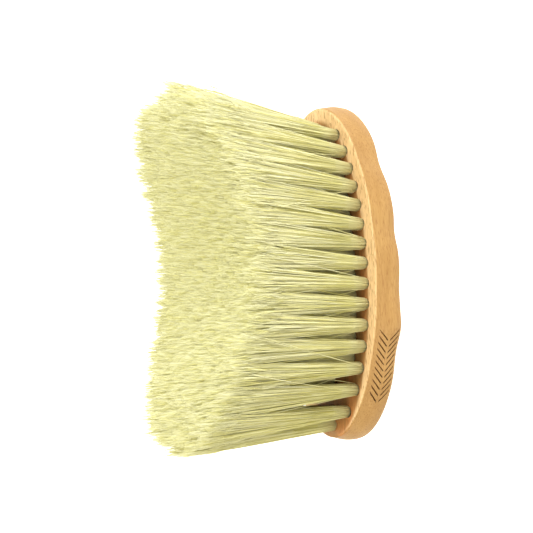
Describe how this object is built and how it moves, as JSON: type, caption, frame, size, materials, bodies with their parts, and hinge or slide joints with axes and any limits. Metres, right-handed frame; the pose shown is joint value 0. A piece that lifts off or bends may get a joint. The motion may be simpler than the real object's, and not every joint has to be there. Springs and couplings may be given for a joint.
{
  "type": "neck duster brush",
  "caption": "Hand-held neck duster brush: an oval wooden block with long splayed bristle tufts trimmed to a concave sweep.",
  "frame": {"origin": "middle of the block's flat back, which is the bottom centre of the box", "axes": "+X along the length, away from the engraved end; +Z the way the bristles point; the engraved long side faces -Y"},
  "size_m": [0.191, 0.0805, 0.126],
  "materials": {
    "wood": "fine-sanded pale hardwood with a thin satin coat",
    "bristle": "pale yellow-green filament, soft sheen",
    "anchor_wire": "plain drawn flat wire"
  },
  "bodies": {
    "root": {"wooden_block": "wood", "tuft_anchors": "anchor_wire", "tuft_rank_01": "bristle", "tuft_rank_02": "bristle", "tuft_rank_03": "bristle", "tuft_rank_04": "bristle", "tuft_rank_05": "bristle", "tuft_rank_06": "bristle", "tuft_rank_07": "bristle", "tuft_rank_08": "bristle", "tuft_rank_09": "bristle", "tuft_rank_10": "bristle", "tuft_rank_11": "bristle", "tuft_rank_12": "bristle", "tuft_rank_13": "bristle", "tuft_rank_14": "bristle", "tuft_rank_15": "bristle", "tuft_rank_16": "bristle", "tuft_rank_17": "bristle", "tuft_rank_18": "bristle", "tuft_rank_19": "bristle", "tuft_rank_20": "bristle", "tuft_rank_21": "bristle", "tuft_rank_22": "bristle", "tuft_rank_23": "bristle", "tuft_rank_24": "bristle", "tuft_rank_25": "bristle", "tuft_rank_26": "bristle", "tuft_rank_27": "bristle", "tuft_rank_28": "bristle", "tuft_rank_29": "bristle"}
  },
  "joints": []
}
